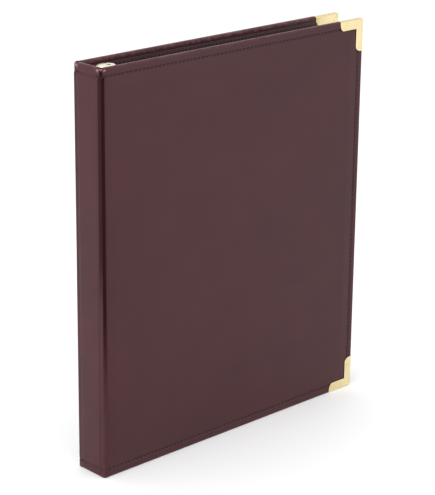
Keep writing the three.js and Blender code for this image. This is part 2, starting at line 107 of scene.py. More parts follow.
# Brass corners
BRASS = 0.45 * MM
BRASS_PROUD = 0.3 * MM
BRASS_ARM = 25 * MM
BRASS_WIDTH = 7.5 * MM
BRASS_END_ROUND = BRASS_WIDTH - ROLL - BRASS_PROUD
MITRE_SLIT = 0.18 * MM
MITRE_TAB = 1.1 * MM
PRESSED = 0.32 * MM
PRESSED_INSET = 0.62 * MM
BULGE = 0.16 * MM
BULGE_WIDTH = 1.6 * MM

# Ring mechanism
RING_TIP_ROUND = 0.55 * MM
LEVER_WIDTH = 14 * MM
LEVER_NECK = 4.4 * MM
LEVER_SHEET = 1.1 * MM
LEVER_DOME = 0.35 * MM
LEVER_HOLE = (1.25 * MM, 2.5 * MM)
LEVER_HOLE_BACK = 4.4 * MM
LEVER_FOLD = 0.4 * MM
LEVER_FOLD_BACK = 2.1 * MM
LEVER_BOSS = 1.3 * MM
LEVER_STRAP = 1 * MM
LEVER_ARM = (0.6 * MM, 2.4 * MM)
LEVER_ARM_REACH = (-8.5 * MM, 0.4 * MM)

# Coin pages
PAGE_COLUMNS = 4
PAGE_ROWS = 5
PAGE_POCKET = 0.24 * MM
PAGE_SHEET = 0.11 * MM
PAGE_MARGIN_X = 2 * MM
PAGE_MARGIN_Z = 2.5 * MM
HOLE_STRIP = 20 * MM
PAGE_HOLE = 3.5 * MM
PAGE_HOLE_INSET = 7 * MM
WELD_WIDTH = 1.4 * MM
WELD_SHOULDER = 0.5 * MM

# Studio, in metres
FLOOR = 6

SPINE_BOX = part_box("spine_skin")
SPINE_X = SPINE_BOX[0].x
SPINE_HALF = SPINE_BOX[1].y
BOTTOM = SPINE_BOX[0].z
TOP = SPINE_BOX[1].z
MID = (BOTTOM + TOP) / 2
SEAM_HEIGHTS = {"top": TOP - SEAM_FROM_END, "bottom": BOTTOM + SEAM_FROM_END}
ACROSS = Matrix.Rotation(math.pi / 2, 4, "X")


# ---- materials ----

def node_material(name):
    material = bpy.data.materials.new(name)
    material.use_nodes = True
    shader = material.node_tree.nodes["Principled BSDF"]
    return material, material.node_tree, shader


def add_node(tree, kind, **values):
    node = tree.nodes.new(kind)
    for key, value in values.items():
        if key in node.inputs:
            node.inputs[key].default_value = value
        else:
            setattr(node, key, value)
    return node


def object_noise(tree, scale, detail=3.0, roughness=0.5):
    coordinates = add_node(tree, "ShaderNodeTexCoord")
    texture = add_node(tree, "ShaderNodeTexNoise", Scale=scale, Detail=detail, Roughness=roughness)
    tree.links.new(coordinates.outputs["Object"], texture.inputs["Vector"])
    return texture.outputs["Fac"]


def object_cells(tree, scale):
    coordinates = add_node(tree, "ShaderNodeTexCoord")
    texture = add_node(tree, "ShaderNodeTexVoronoi", Scale=scale)
    tree.links.new(coordinates.outputs["Object"], texture.inputs["Vector"])
    return texture.outputs["Distance"]


def object_bands(tree, scale, distortion, direction):
    coordinates = add_node(tree, "ShaderNodeTexCoord")
    texture = add_node(tree, "ShaderNodeTexWave", Scale=scale, Distortion=distortion)
    texture.wave_type = "BANDS"
    texture.bands_direction = direction
    tree.links.new(coordinates.outputs["Object"], texture.inputs["Vector"])
    return texture.outputs["Fac"]


def ramp(tree, factor, *stops):
    """Two colours, each with the factor where it starts or ends."""
    node = tree.nodes.new("ShaderNodeValToRGB")
    for element, (position, colour) in zip(node.color_ramp.elements, stops):
        element.position = position
        element.color = (*colour, 1)
    tree.links.new(factor, node.inputs["Fac"])
    return node.outputs["Color"]


def map_range(tree, value, low, high, out_low, out_high):
    node = add_node(tree, "ShaderNodeMapRange")
    keys = ("From Min", "From Max", "To Min", "To Max")
    for key, number in zip(keys, (low, high, out_low, out_high)):
        node.inputs[key].default_value = number
    tree.links.new(value, node.inputs["Value"])
    return node.outputs["Result"]


def maths(tree, operation, a, b):
    node = tree.nodes.new("ShaderNodeMath")
    node.operation = operation
    for socket, value in zip(node.inputs, (a, b)):
        if isinstance(value, (int, float)):
            socket.default_value = value
        else:
            tree.links.new(value, socket)
    return node.outputs["Value"]


def blend_colours(tree, factor, a, b):
    node = tree.nodes.new("ShaderNodeMix")
    node.data_type = "RGBA"
    tree.links.new(factor, node.inputs["Factor"])
    for key, value in (("A", a), ("B", b)):
        socket = [s for s in node.inputs if s.name == key and s.type == "RGBA"][0]
        if isinstance(value, tuple):
            socket.default_value = (*value, 1)
        else:
            tree.links.new(value, socket)
    return [s for s in node.outputs if s.type == "RGBA"][0]


def bump(tree, shader, height, strength, distance):
    node = add_node(tree, "ShaderNodeBump", Strength=strength, Distance=distance)
    tree.links.new(height, node.inputs["Height"])
    tree.links.new(node.outputs["Normal"], shader.inputs["Normal"])


def link_looks(tree, shader, colour, rough):
    tree.links.new(colour, shader.inputs["Base Color"])
    tree.links.new(rough, shader.inputs["Roughness"])


def leather_material():
    """Burgundy leather-look vinyl: satin with a very fine grain.

    One vertex attribute lightens it, from 0 to 1 in patches and from 1 to 2 all over: real scuffing and
    painted highlight on the rolled edges, painted highlight on the inside hems and on the lips at the hinge
    tops. The other darkens and dulls
    it: painted shade in the hinge grooves and hollows and beside the brass corners.
    """
    material, tree, shader = node_material("burgundy_leather")
    mottle = object_noise(tree, 28, 4)
    colour = ramp(tree, mottle, (0.3, (0.039, 0.0064, 0.0094)), (0.7, (0.046, 0.0082, 0.0116)))
    wear_and_highlight = add_node(tree, "ShaderNodeAttribute", attribute_name="wear_and_highlight").outputs["Fac"]
    patches = map_range(tree, object_noise(tree, 260, 5, 0.65), 0.42, 0.62, 0.1, 1)
    in_patches = maths(tree, "MULTIPLY", wear_and_highlight, patches)
    # Real scuffing and painted highlight: lighter in patches, as the first attribute goes from 0 to 1.
    worn_and_lit = blend_colours(tree, in_patches, colour, (0.17, 0.068, 0.078))
    # Painted highlight: pale pink all over, as the first attribute goes from 1 to 2.
    painted_highlight = blend_colours(tree, map_range(tree, wear_and_highlight, 1, 2, 0, 1), worn_and_lit, (0.4, 0.19, 0.22))
    painted_shade = add_node(tree, "ShaderNodeAttribute", attribute_name="painted_shade").outputs["Fac"]
    # Painted shade: the second attribute darkens the colour here and lowers the specular below, in grooves,
    # hollows and beside the brass.
    pressed = blend_colours(tree, painted_shade, painted_highlight, (0.017, 0.0022, 0.0034))
    rough = map_range(tree, object_noise(tree, 70, 3), 0.3, 0.7, 0.4, 0.48)
    link_looks(tree, shader, pressed, rough)
    tree.links.new(map_range(tree, painted_shade, 0, 1, 0.27, 0.05), shader.inputs["Specular IOR Level"])
    pebbles = object_cells(tree, 1500)
    fine = object_noise(tree, 4200, 2)
    height = maths(tree, "ADD", pebbles, maths(tree, "MULTIPLY", fine, 0.5))
    bump(tree, shader, height, 0.07, 0.00025)
    return material


def lining_material():
    """Dark burgundy lining cloth with a fine rib."""
    material, tree, shader = node_material("lining_cloth")
    rib = object_bands(tree, 420.0, 0.4, "Z")
    tint = object_noise(tree, 45, 4)
    colour = ramp(tree, tint, (0.3, (0.042, 0.014, 0.018)), (0.7, (0.060, 0.021, 0.026)))
    link_looks(tree, shader, colour, map_range(tree, tint, 0.3, 0.7, 0.62, 0.75))
    fibres = object_noise(tree, 2600, 2)
    height = maths(tree, "ADD", rib, maths(tree, "MULTIPLY", fibres, 0.6))
    bump(tree, shader, height, 0.2, 0.0002)
    shader.inputs["Sheen Weight"].default_value = 0.15
    return material


def thread_material():
    """Burgundy sewing thread, twisted, a little darker than the leather."""
    material, tree, shader = node_material("sewing_thread")
    twist = object_bands(tree, 900.0, 1.0, "DIAGONAL")
    colour = ramp(tree, twist, (0.2, (0.046, 0.009, 0.013)), (0.8, (0.066, 0.018, 0.023)))
    link_looks(tree, shader, colour, map_range(tree, twist, 0, 1, 0.5, 0.65))
    bump(tree, shader, twist, 0.3, 0.0001)
    return material


def hole_material():
    """Painted shade: a near-black colour for the inside of a needle hole."""
    material, tree, shader = node_material("needle_hole")
    tint = object_noise(tree, 900, 2)
    colour = ramp(tree, tint, (0.3, (0.008, 0.002, 0.003)), (0.7, (0.014, 0.004, 0.005)))
    link_looks(tree, shader, colour, map_range(tree, tint, 0.3, 0.7, 0.85, 0.95))
    return material


def brass_material(name, light, dark, rough_low, rough_high):
    """Pale polished brass with faint brush lines and slightly dulled patches."""
    material, tree, shader = node_material(name)
    patches = object_noise(tree, 90, 5, 0.6)
    colour = ramp(tree, patches, (0.35, light), (0.75, dark))
    link_looks(tree, shader, colour, map_range(tree, patches, 0.3, 0.75, rough_low, rough_high))
    shader.inputs["Metallic"].default_value = 1.0
    scratches = object_noise(tree, 1900, 3)
    bump(tree, shader, scratches, 0.05, 0.0001)
    return material


def board_material():
    """Grey board with flecks of recycled fibre."""
    material, tree, shader = node_material("grey_board")
    flecks = object_noise(tree, 700, 6, 0.7)
    colour = ramp(tree, flecks, (0.35, (0.17, 0.15, 0.12)), (0.6, (0.30, 0.27, 0.22)))
    link_looks(tree, shader, colour, map_range(tree, flecks, 0.3, 0.7, 0.85, 0.95))
    bump(tree, shader, flecks, 0.2, 0.0002)
    return material


def foam_material():
    """Off-white foam sheet with small open cells."""
    material, tree, shader = node_material("foam_sheet")
    cells = object_cells(tree, 1100)
    colour = ramp(tree, cells, (0.1, (0.55, 0.51, 0.43)), (0.6, (0.72, 0.69, 0.61)))
    link_looks(tree, shader, colour, map_range(tree, cells, 0, 1, 0.85, 0.95))
    bump(tree, shader, cells, 0.4, 0.0003)
    return material


def vinyl_material():
    """Clear page vinyl: glossy, with faint handling waves."""
    material, tree, shader = node_material("clear_vinyl")
    waves = object_noise(tree, 60, 2)
    tint = ramp(tree, waves, (0.3, (0.90, 0.93, 0.95)), (0.7, (0.95, 0.97, 0.98)))
    link_looks(tree, shader, tint, map_range(tree, waves, 0.3, 0.7, 0.06, 0.14))
    shader.inputs["Alpha"].default_value = 0.22
    shader.inputs["IOR"].default_value = 1.5
    bump(tree, shader, waves, 0.15, 0.001)
    return material


def weld_material():
    """The heat-sealed lines of a page, which look frosted."""
    material, tree, shader = node_material("vinyl_weld")
    knurl = object_cells(tree, 1600)
    tint = ramp(tree, knurl, (0.1, (0.78, 0.82, 0.85)), (0.7, (0.92, 0.94, 0.96)))
    link_looks(tree, shader, tint, map_range(tree, knurl, 0, 1, 0.3, 0.5))
    shader.inputs["Alpha"].default_value = 0.55
    bump(tree, shader, knurl, 0.4, 0.0002)
    return material


LEATHER = leather_material()
LINING = lining_material()
THREAD_MATERIAL = thread_material()
HOLE = hole_material()
BRASS_MATERIAL = brass_material("pale_brass", (0.80, 0.68, 0.40), (0.74, 0.60, 0.33), 0.2, 0.3)
LEVER_MATERIAL = brass_material("lever_brass", (0.95, 0.91, 0.74), (0.90, 0.84, 0.64), 0.18, 0.28)
PLATE_MATERIAL = brass_material(
    "brass_plated_steel", (0.78, 0.66, 0.40), (0.70, 0.56, 0.32), 0.16, 0.26
)
BOARD = board_material()
FOAM = foam_material()
VINYL = vinyl_material()
WELD = weld_material()


# ---- mesh helpers ----

def make_object(name, vertices, faces, materials, smooth=True):
    mesh = bpy.data.meshes.new(name)
    mesh.from_pydata([tuple(v) for v in vertices], [], faces)
    for material in materials:
        mesh.materials.append(material)
    mesh.polygons.foreach_set("use_smooth", [smooth] * len(mesh.polygons))
    obj = bpy.data.objects.new(name, mesh)
    bpy.context.scene.collection.objects.link(obj)
    return obj


def grid_faces(grid):
    """The faces of a grid of vertices or vertex numbers, given as rows."""
    return [
        (a[i], b[i], b[i + 1], a[i + 1])
        for a, b in zip(grid, grid[1:])
        for i in range(len(a) - 1)
    ]


def turned(grid):
    """The grid with its rows as columns, which faces the other way."""
    return list(zip(*grid))


def face_outwards(obj):
    mesh = bmesh.new()
    mesh.from_mesh(obj.data)
    bmesh.ops.recalc_face_normals(mesh, faces=mesh.faces)
    mesh.to_mesh(obj.data)
    mesh.free()


def apply_modifiers(obj):
    depsgraph = bpy.context.evaluated_depsgraph_get()
    obj.data = bpy.data.meshes.new_from_object(obj.evaluated_get(depsgraph))
    obj.modifiers.clear()


def thicken(obj, thickness):
    solidify = obj.modifiers.new("thickness", "SOLIDIFY")
    solidify.thickness = thickness
    solidify.offset = -1
    apply_modifiers(obj)


def soften(obj, width, segments=2, angle=35):
    bevel = obj.modifiers.new("bevel", "BEVEL")
    bevel.width = width
    bevel.segments = segments
    bevel.limit_method = "ANGLE"
    bevel.angle_limit = math.radians(angle)
    apply_modifiers(obj)


def mesh_object(name, mesh, materials):
    """An object from a bmesh, which is freed."""
    bmesh.ops.recalc_face_normals(mesh, faces=mesh.faces)
    data = bpy.data.meshes.new(name)
    mesh.to_mesh(data)
    mesh.free()
    for material in materials:
        data.materials.append(material)
    obj = bpy.data.objects.new(name, data)
    bpy.context.scene.collection.objects.link(obj)
    return obj


def add_cylinder(mesh, centre, turn, radius, depth, segments=32):
    bmesh.ops.create_cone(
        mesh,
        cap_ends=True,
        segments=segments,
        radius1=radius,
        radius2=radius,
        depth=depth,
        matrix=Matrix.Translation(centre) @ turn,
    )


def cut(obj, mesh):
    """Cuts a bmesh of closed shapes out of an object."""
    cutter = mesh_object("cutter", mesh, [])
    boolean = obj.modifiers.new("cut", "BOOLEAN")
    boolean.operation = "DIFFERENCE"
    boolean.solver = "EXACT"
    boolean.object = cutter
    apply_modifiers(obj)
    bpy.data.objects.remove(cutter)


def mark(obj, name, values):
    """Stores a number on each vertex for the leather material: how much scuffing and painted highlight, or
    how much painted shade.
    """
    attribute = obj.data.attributes.new(name, "FLOAT", "POINT")
    attribute.data.foreach_set("value", values)


def mark_by_place(obj, name, amount):
    mark(obj, name, [amount(vertex.co) for vertex in obj.data.vertices])


def smoothstep(value):
    value = max(0.0, min(1.0, value))
    return value * value * (3 - 2 * value)


def bell(value):
    return math.exp(-value * value)


def hump(value):
    """1 at 0, falling smoothly to 0 at 1 and beyond."""
    return math.cos(math.pi / 2 * min(1.0, abs(value))) ** 2


def rolled(angle, radius):
    """A point of a turned edge's section, out from its middle and across: squarer than a half round."""
    cosine = math.cos(angle)
    out = radius * math.sin(angle) ** EDGE_SQUARENESS
    return out, radius * math.copysign(abs(cosine) ** EDGE_SQUARENESS, cosine)


def spread(start, end, count):
    return [start + (end - start) * i / count for i in range(count + 1)]


def edge_lining(name, section, z_low, z_high, body):
    """The lining glued over the edge of a board: a strip that stands on the corners of its section."""
    heights = spread(z_low + EDGE_LINING_INSET, z_high - EDGE_LINING_INSET, 12)
    vertices = [Vector((x, y, z)) for z in heights for x, y in section]
    sides = len(section)
    last = len(vertices) - sides
    faces = []
    for ring in range(0, last, sides):
        for k in range(sides):
            a, b = ring + k, ring + (k + 1) % sides
            faces.append((a, b, b + sides, a + sides))
    faces.append(tuple(range(sides))[::-1])
    faces.append(tuple(range(last, last + sides)))
    strip = make_object(name, vertices, faces, [LINING], False)
    face_outwards(strip)
    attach(strip, body)


class Panel:
    """A cover's own axes: x along the row, depth from the outer face inwards, and z."""

    def __init__(self, side):
        self.side = side
        self.body = f"{side}_cover"
        low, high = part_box(f"{side}_cover_skin")
        self.x0, self.x1 = low.x, high.x
        self.z0, self.z1 = low.z, high.z
        self.inward = 1 if side == "front" else -1
        self.outer_y = low.y if side == "front" else high.y

    def point(self, x, depth, z):
        return Vector((x, self.outer_y + self.inward * depth, z))

    def outward(self):
        return Vector((0, -self.inward, 0))

    def from_end(self, z):
        return min(z - self.z0, self.z1 - z)


# ---- stitches ----

def add_tube(mesh, path, radii, across, sides, material):
    """A closed tube through the path's points, with flat ends. across is a direction off the path."""
    rings = []
    for i, point in enumerate(path):
        along = (path[min(i + 1, len(path) - 1)] - path[max(i - 1, 0)]).normalized()
        side = (across - along * across.dot(along)).normalized()
        up = along.cross(side)
        ring = []
        for k in range(sides):
            angle = 2 * math.pi * k / sides
            offset = side * math.cos(angle) + up * math.sin(angle)
            ring.append(mesh.verts.new(point + offset * radii[i]))
        rings.append(ring)
    for a, b in zip(rings, rings[1:]):
        for k in range(sides):
            face = mesh.faces.new((a[k], a[(k + 1) % sides], b[(k + 1) % sides], b[k]))
            face.material_index = material
            face.smooth = True
    for ring, flip in ((rings[0], True), (rings[-1], False)):
        face = mesh.faces.new(ring[::-1] if flip else ring)
        face.material_index = material
        face.smooth = True


def add_hole(mesh, centre, out, radius):
    """A conical pit where the needle went through, coloured with painted shade."""
    side = out.orthogonal().normalized()
    up = out.cross(side)
    rim = []
    sides = 8
    for k in range(sides):
        angle = 2 * math.pi * k / sides
        spread_out = side * math.cos(angle) + up * math.sin(angle)
        rim.append(mesh.verts.new(centre + spread_out * radius))
    pit = mesh.verts.new(centre - out * radius * 0.35)
    below = mesh.verts.new(centre - out * radius * 0.9)
    for k in range(sides):
        for tip, order in ((pit, 1), (below, -1)):
            corner = (rim[k], rim[(k + 1) % sides], tip)[::order]
            mesh.faces.new(corner).material_index = 1


def add_stitch(mesh, place, normal, start, pitch):
    """One arched stitch, thinner where it goes into the leather."""
    steps, sides = 6, 6
    path, radii = [], []
    for i in range(steps + 1):
        share = i / steps
        arch = math.sin(math.pi * share)
        at = start + pitch * (STITCH_START + STITCH_PART * share)
        lift = THREAD * (1.15 * arch - 0.75)
        path.append(place(at) + normal(at) * lift)
        radii.append(THREAD * (0.62 + 0.38 * arch))
    add_tube(mesh, path, radii, normal(start), sides, 0)


def stitch_object(name, runs):
    """One mesh of single stitches. Each run has functions for its places and normals, and its length."""
    mesh = bmesh.new()
    for place, length, normal in runs:
        count = max(1, round(length / STITCH_PITCH))
        pitch = length / count
        for number in range(count):
            add_stitch(mesh, place, normal, number * pitch, pitch)
        for number in range(count + 1):
            at = number * pitch
            add_hole(mesh, place(at) + normal(at) * 0.14 * MM, normal(at), NEEDLE_HOLE)
    return mesh_object(name, mesh, [THREAD_MATERIAL, HOLE])


def straight_run(start, end, normal):
    """A run of stitches from one point to another on a flat face."""
    length = (end - start).length
    along = (end - start).normalized()

    def place(at):
        return start + along * at

    def facing(at):
        return normal

    return place, length, facing


# ---- padded covers ----

def edge_profile():
    """From the hem inside round to the face: distance from the edge, depth, and if it's on the face."""
    hem = [(HEM, COVER, False), ((HEM + INNER_ROLL) / 2, COVER, False)]
    roll = []
    roll_steps = 8
    for i in range(roll_steps):
        angle = math.pi / 2 * i / roll_steps
        out = INNER_ROLL * math.sin(angle) ** INNER_SQUARENESS
        across = ROLL * math.cos(angle) ** INNER_SQUARENESS
        roll.append((INNER_ROLL - out, ROLL + across, False))
    for i in range(roll_steps + 1):
        out, across = rolled(math.pi / 2 * (1 + i / roll_steps), ROLL)
        roll.append((ROLL - out, ROLL + across, i == roll_steps))
    border = spread(2.4 * MM, 4.4 * MM, 3) + spread(4.4 * MM, 7.4 * MM, 10)[1:]
    border += [8 * MM, 8.8 * MM, 9.8 * MM, 11 * MM, 12.5 * MM, 14 * MM]
    return hem + roll + [(from_edge, 0.0, True) for from_edge in border]


def face_depth(panel, x, z, from_end, from_fore):
    """How deep the padded face lies below a flat one: a dimple at the seam, a low crown inside."""
    seam = min(abs(from_end - SEAM_FROM_END), abs(from_fore - SEAM_FROM_EDGE))
    inside = min(from_end - SEAM_FROM_END, from_fore - SEAM_FROM_EDGE)
    dimple = SEAM_DIMPLE * bell(seam / SEAM_WIDTH)
    rise = smoothstep((inside - 0.5 * MM) / CROWN_RISE)
    border = BORDER_CROWN * bell((inside + 3 * MM) / (1.3 * MM))
    hinge = smoothstep((x - panel.x0) / (7 * MM))
    wave = noise.noise(Vector((x * 14, z * 11, 3.1 if panel.side == "front" else 9.7)))
    ripple = noise.noise(Vector((x * 60, z * 50, 5.3)))
    crown = CROWN * rise + (0.05 * wave + 0.008 * ripple) * MM * rise
    return dimple - (crown + border) * hinge


def brass_margin(panel, x, z):
    """How far inside the outline of a brass corner a point of the cover lies, negative outside it."""
    from_end = panel.from_end(z)
    from_fore = panel.x1 - x
    margins = []
    for across, along in ((from_end, from_fore), (from_fore, from_end)):
        narrowing = max(0.1, 1 - across / BRASS_ARM)
        from_tip = (BRASS_ARM - along) / narrowing
        beyond_round = max(0.0, BRASS_END_ROUND - from_tip)
        beyond_edge = max(0.0, across - (BRASS_WIDTH - BRASS_END_ROUND))
        margins.append(BRASS_END_ROUND - math.hypot(beyond_round, beyond_edge))
    return max(margins)


def under_brass(panel, x, z, grow=0.0):
    """From 0 outside the brass corners to 1 well under them."""
    return smoothstep((brass_margin(panel, x, z) + grow) / (0.7 * MM))


def brass_shadow(panel, point):
    """Painted shade where the leather dips under the edge of a brass corner."""
    margin = brass_margin(panel, point.x, point.z)
    return smoothstep(1 + margin / (0.9 * MM)) * smoothstep(1 - margin / (0.7 * MM))


def round_plan(panel, x, z):
    """Moves a point of the square plan corner onto a rounded one."""
    a = x - (panel.x1 - PLAN_ROUND)
    top = z > (panel.z0 + panel.z1) / 2
    b = z - (panel.z1 - PLAN_ROUND) if top else (panel.z0 + PLAN_ROUND) - z
    if a <= 0 or b <= 0:
        return x, z
    shrink = max(a, b) / math.hypot(a, b)
    x += a * (shrink - 1)
    z += b * (shrink - 1) * (1 if top else -1)
    return x, z


def cover_vertex(panel, x, depth, z, on_face):
    """A point of the skin, padded on the face and crushed flat where the brass clasps it."""
    held = under_brass(panel, x, z)
    if on_face:
        depth += face_depth(panel, x, z, panel.from_end(z), panel.x1 - x)
    if depth < PRESSED:
        depth += (PRESSED - depth) * held
    if on_face:
        depth += BULGE * (under_brass(panel, x, z, BULGE_WIDTH) - held)
    if depth > COVER - PRESSED:
        depth += (COVER - PRESSED - depth) * held
    inset = PRESSED_INSET * held
    x = min(x, panel.x1 - inset)
    z = max(panel.z0 + inset, min(panel.z1 - inset, z))
    x, z = round_plan(panel, x, z)
    return panel.point(x, depth, z)


def cover_outline(panel, from_edge, on_face):
    """The points round three sides of a cover, and the number of the one at the top fore corner."""
    from_fore = from_edge
    if on_face:
        narrowing = (SEAM_FROM_EDGE - ROLL) / (SEAM_FROM_END - ROLL)
        from_fore = ROLL + (from_edge - ROLL) * narrowing
    across = spread(0, 0.03, 6) + spread(0.03, 0.88, 44)[1:] + spread(0.88, 1, 34)[1:]
    corner = BRASS_ARM * 1.3 / (panel.z1 - panel.z0)
    down = spread(0, corner, 34) + spread(corner, 1 - corner, 50)[1:] + spread(1 - corner, 1, 34)[1:]
    x_end = panel.x1 - from_fore
    z_top, z_bottom = panel.z1 - from_edge, panel.z0 + from_edge
    top = [(panel.x0 + share * (x_end - panel.x0), z_top) for share in across]
    fore = [(x_end, z_top + share * (z_bottom - z_top)) for share in down[1:]]
    bottom = [(x, z_bottom) for x, z in top[-2::-1]]
    return top + fore + bottom, len(across) - 1


def face_grid(panel, vertices, outline, border, corner):
    """Rows of vertex numbers down the face inside its border. The points inside are added."""
    last_row = len(outline) - 1 - 2 * corner
    grid = [border[: corner + 1]]
    for number in range(1, last_row):
        inside = range(len(vertices), len(vertices) + corner)
        z = outline[corner + number][1]
        vertices += [cover_vertex(panel, x, 0, z, True) for x, _ in outline[:corner]]
        grid.append([*inside, border[corner + number]])
    grid.append(border[corner + last_row :][::-1])
    return grid


def cover_skin(panel):
    """The leather skin of one cover: nested outlines for the edges, and a grid for the face."""
    vertices, rows = [], []
    for from_edge, depth, on_face in edge_profile():
        outline, corner = cover_outline(panel, from_edge, on_face)
        rows.append(list(range(len(vertices), len(vertices) + len(outline))))
        vertices += [cover_vertex(panel, x, depth, z, on_face) for x, z in outline]
    grid = face_grid(panel, vertices, outline, rows[-1], corner)
    faces = grid_faces(turned(rows)) + grid_faces(turned(grid))
    if panel.inward > 0:
        faces = [face[::-1] for face in faces]
    obj = make_object(f"{panel.side}_cover_leather", vertices, faces, [LEATHER])
    mark_by_place(obj, "wear_and_highlight", lambda place: cover_wear_and_highlight(panel, place))
    mark_by_place(obj, "painted_shade", lambda place: brass_shadow(panel, place))
    thicken(obj, SKIN)
    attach(obj, panel.body)
    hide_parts(f"{panel.side}_cover_skin")


def cover_wear_and_highlight(panel, point):
    """Scuffing and painted highlight on the rolled edges, a painted highlight further in on the inside hem,
    and none on the faces.
    """
    edge = min(panel.from_end(point.z), panel.x1 - point.x)
    inside = smoothstep((abs(point.y - panel.outer_y) - ROLL) / (COVER - ROLL))
    # Painted highlight: the inside hem near the edge is lightened.
    hem = 0.5 * inside * smoothstep((HEM - edge) / (1.5 * MM))
    return max(EDGE_WEAR_AND_HIGHLIGHT * bell(edge / EDGE_WEAR_AND_HIGHLIGHT_WIDTH) + hem, lip_highlight(point))


def lip_highlight(point):
    """Painted highlight, from 0 to 2: most on the two lips beside the hollow at the top end of each hinge.
    """
    from_spine = point.x - SPINE_X
    from_face = SPINE_HALF + HINGE_REACH - abs(point.y)
    on_spine = math.hypot(from_spine, from_face - LIP_PLACE)
    on_cover = math.hypot(from_face, from_spine - LIP_PLACE)
    across = min(on_spine, on_cover) / LIP_WIDTH
    return 2 * bell(across) * bell((TOP - LIP_DROP - point.z) / LIP_HEIGHT)


def cover_seam(panel):
    """The stitches round three sides of a cover as far as the brass, seen outside and inside."""
    beside_brass = BRASS_ARM + 1 * MM
    seam_x = panel.x1 - SEAM_FROM_EDGE
    for face, depth, normal in (
        ("outside", THREAD_DEPTH, panel.outward()),
        ("inside", COVER, -panel.outward()),
    ):
        runs = []
        for z in SEAM_HEIGHTS.values():
            start = panel.point(panel.x0 + SEAM_START, depth, z)
            runs.append(straight_run(start, panel.point(panel.x1 - beside_brass, depth, z), normal))
        top = panel.point(seam_x, depth, panel.z1 - beside_brass)
        bottom = panel.point(seam_x, depth, panel.z0 + beside_brass)
        runs.append(straight_run(top, bottom, normal))
        seam = stitch_object(f"{panel.side}_cover_stitches_{face}", runs)
        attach(seam, panel.body)
        if face == "outside":
            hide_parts(f"{panel.side}_cover_stitching")


def cover_edge_lining(panel):
    """The lining over the edge of the board where the cover meets its hinge."""
    x = panel.x0 - EDGE_GAP
    low, high = HINGE_SKIN + 0.05 * MM, COVER - EDGE_GAP
    corners = ((x, low), (x - EDGE_LINING, low), (x - EDGE_LINING, high), (x, high))
    section = [(at, panel.point(at, depth, 0).y) for at, depth in corners]
    edge_lining(f"{panel.side}_cover_edge_lining", section, panel.z0, panel.z1, panel.body)


# ---- brass corners ----

def brass_width(from_tip):
    """How far an arm of the brass reaches over the cover."""
    fall = max(0.0, BRASS_END_ROUND - from_tip)
    round_end = math.sqrt(BRASS_END_ROUND**2 - fall**2)
    return BRASS_WIDTH - BRASS_END_ROUND + max(0.15 * MM, round_end)


def brass_stations():
    """Places along an arm from its tip to the mitre, close together round the tip."""
    tip = [BRASS_END_ROUND * (1 - math.cos(math.pi / 2 * i / 8)) for i in range(9)]
    straight = spread(BRASS_END_ROUND, BRASS_ARM - 2 * MM, 6)[1:]
    return tip + straight + [BRASS_ARM - 1 * MM, BRASS_ARM - 0.4 * MM, BRASS_ARM]


def brass_section(from_tip):
    """The bent sheet across an arm: distance from the edge, depth, and if it's on the inside."""
    width = brass_width(from_tip)
    inner_width = width + MITRE_TAB * bell((BRASS_ARM - from_tip) / (1.2 * MM))
    radius = ROLL + BRASS_PROUD
    flat_steps, roll_steps = 5, 14
    section = [(offset, -BRASS_PROUD, False) for offset in spread(width, radius, flat_steps)[:-1]]
    for i in range(roll_steps + 1):
        out, across = rolled(math.pi * i / roll_steps, radius)
        section.append((radius - out, ROLL - across, i > 0.65 * roll_steps))
    for offset in spread(radius, inner_width, flat_steps)[1:]:
        section.append((offset, COVER + BRASS_PROUD, True))
    return section


def brass_arm(panel, end, arm, vertices, mitre):
    """Rows of vertex numbers along one arm of a corner, from its tip to the mitre of the other arm."""
    edge_z, into = (panel.z1, -1) if end == "top" else (panel.z0, 1)
    rows = []
    for from_tip in brass_stations():
        at_mitre = from_tip == BRASS_ARM
        row = []
        for number, (offset, depth, inside) in enumerate(brass_section(from_tip)):
            if at_mitre and mitre and not inside:
                row.append(mitre[number])
                continue
            slit = MITRE_SLIT if at_mitre and inside else 0
            along = BRASS_ARM - (from_tip - slit) * (BRASS_ARM - offset) / BRASS_ARM
            from_fore, from_end = (along, offset) if arm == "end" else (offset, along)
            x, z = round_plan(panel, panel.x1 - from_fore, edge_z + into * from_end)
            row.append(len(vertices))
            vertices.append(panel.point(x, depth, z))
        rows.append(row)
    return rows


def brass_corner(panel, end):
    """A stamped brass corner: one sheet bent over face, edges and inside, slit at the inside mitre."""
    vertices, faces = [], []
    mitre = None
    for arm in ("end", "fore"):
        rows = brass_arm(panel, end, arm, vertices, mitre)
        mitre = rows[-1]
        flip = (panel.inward > 0) == ((end == "top") == (arm == "fore"))
        faces += [face[::-1] if flip else face for face in grid_faces(rows)]
    corner = make_object(f"{panel.side}_{end}_brass_corner", vertices, faces, [BRASS_MATERIAL])
    thicken(corner, BRASS)
    soften(corner, 0.1 * MM)
    face_outwards(corner)
    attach(corner, panel.body)
    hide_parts(f"{panel.side}_cover_corner_{end}")


# ---- spine and hinges ----

def end_rounding(from_end, radius):
    """How deep a rolled end lies below its face, by distance from the end."""
    if from_end >= radius:
        return 0.0
    return radius - math.sqrt(max(0.0, radius**2 - (radius - from_end) ** 2))


def spine_stations():
    """Heights up the spine and hinges, close together at the rolled ends and the seams."""
    rolled_end = [0, 0.08, 0.25, 0.5, 0.85, 1.3, 1.8, 2.6, 3.6, 4.4]
    seam = [5.0, 5.4, 5.7, 6.0, 6.3, 6.6, 7.0]
    from_end = rolled_end + seam + [7.8, 9, 12, 18]
    low = [BOTTOM + distance * MM for distance in from_end]
    high = [TOP - distance * MM for distance in reversed(from_end)]
    return low + spread(low[-1], high[0], 30)[1:-1] + high


def seam_dimple(z):
    seam = min(abs(z - height) for height in SEAM_HEIGHTS.values())
    return SEAM_DIMPLE * bell(seam / SEAM_WIDTH)


